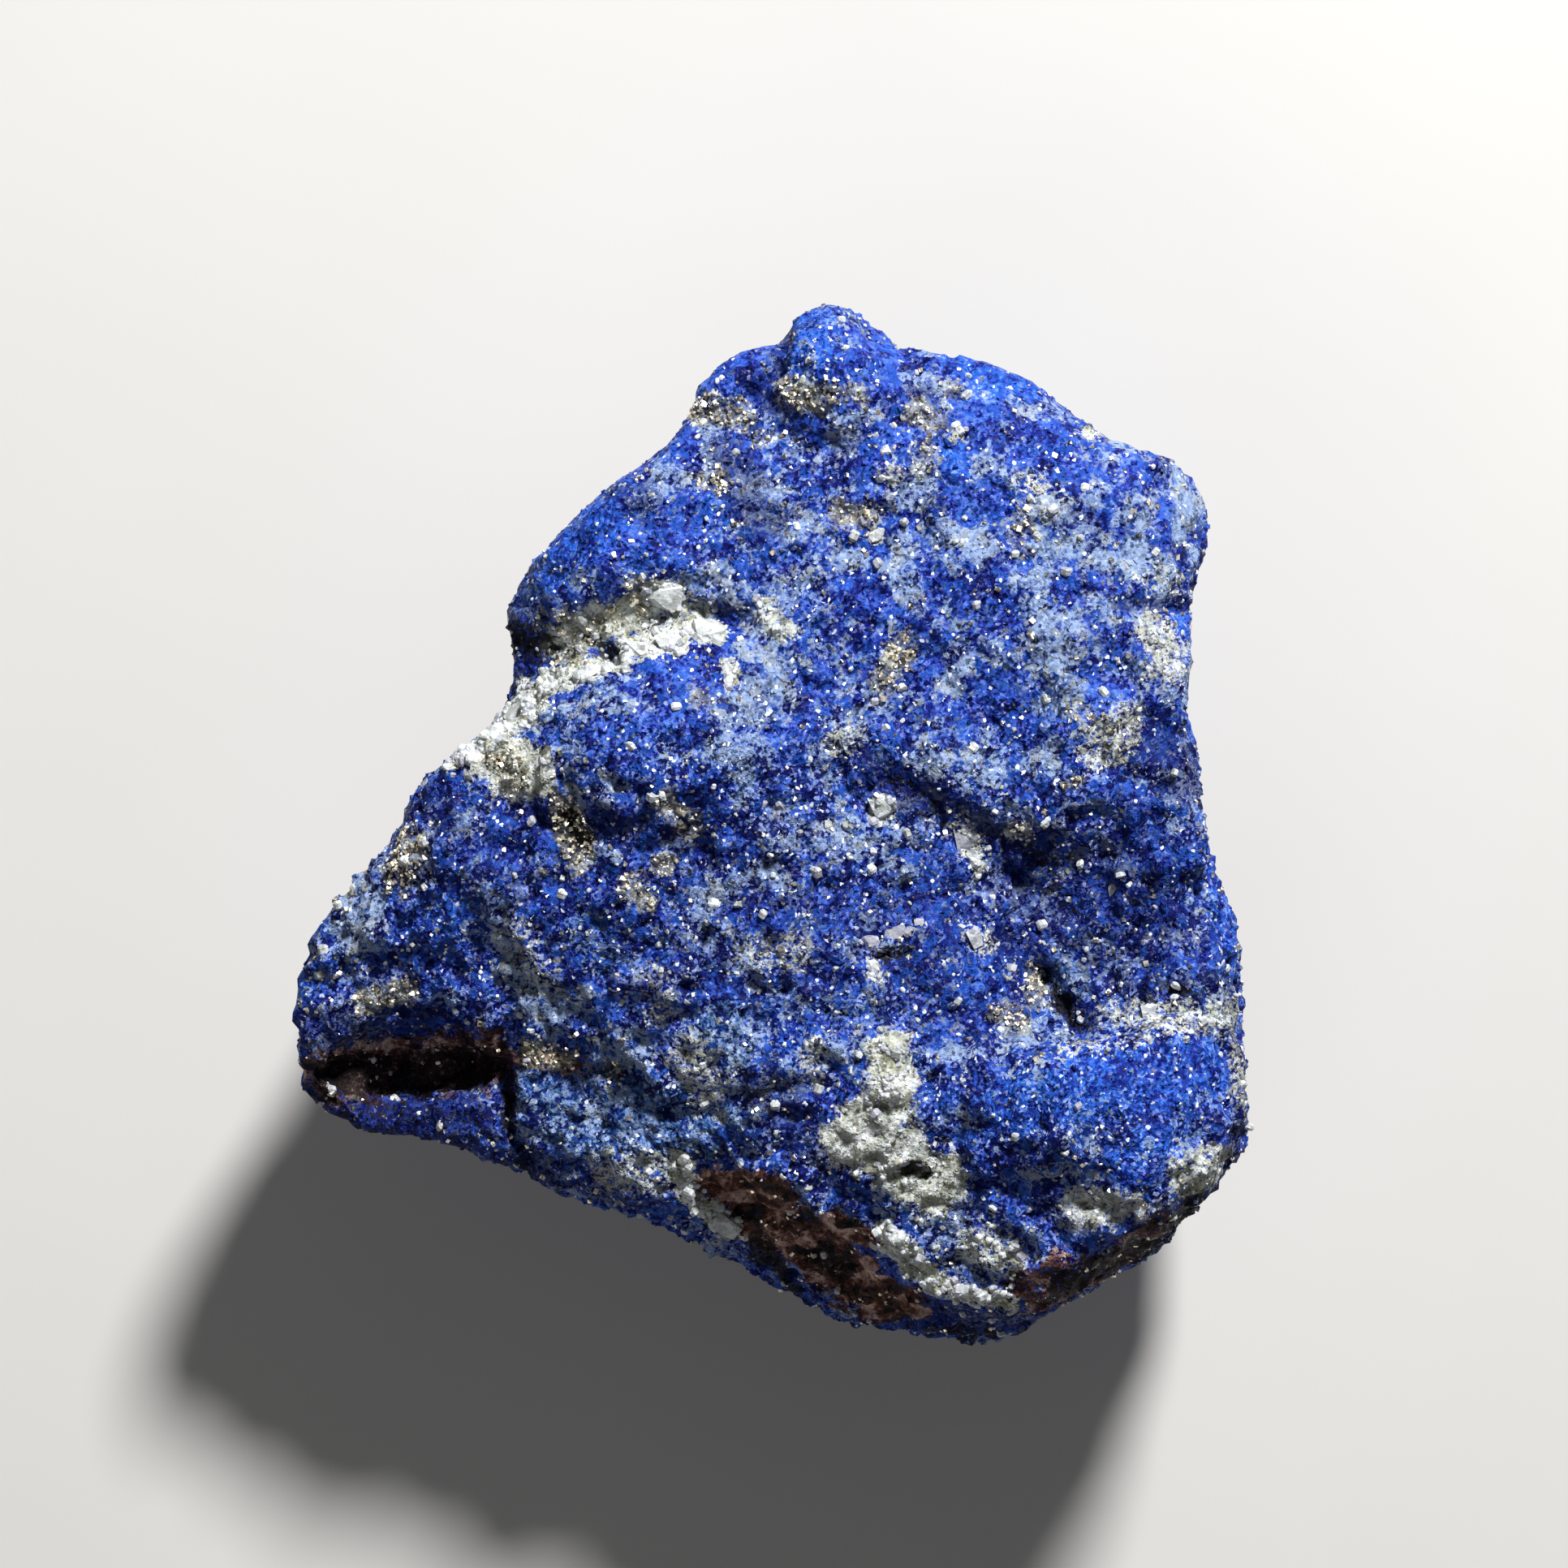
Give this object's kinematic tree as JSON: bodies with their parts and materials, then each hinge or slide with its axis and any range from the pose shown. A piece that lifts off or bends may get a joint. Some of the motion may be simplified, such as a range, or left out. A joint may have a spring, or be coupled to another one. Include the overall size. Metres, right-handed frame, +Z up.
{
  "type": "rough lapis lazuli stone",
  "caption": "Palm-sized lump of rough lapis lazuli: blue broken rock with pyrite flecks, white calcite in a cleft and a brown weathered foot, lying flat for display.",
  "frame": {"origin": "on the resting plane, under the middle of the stone's box seen from above", "axes": "+Z up, out of the broad fresh face; +Y toward the narrow end with the knob; +X toward the straight right-hand edge as the picture shows it"},
  "size_m": [0.0492, 0.0538, 0.0247],
  "materials": {
    "lapis": "rough broken crystalline rock: ultramarine lazurite with paler blue-grey mottling, brassy pyrite grains, white and grey calcite, brown stain on the foot; no polish"
  },
  "bodies": {
    "root": {"stone": "lapis"}
  },
  "joints": []
}
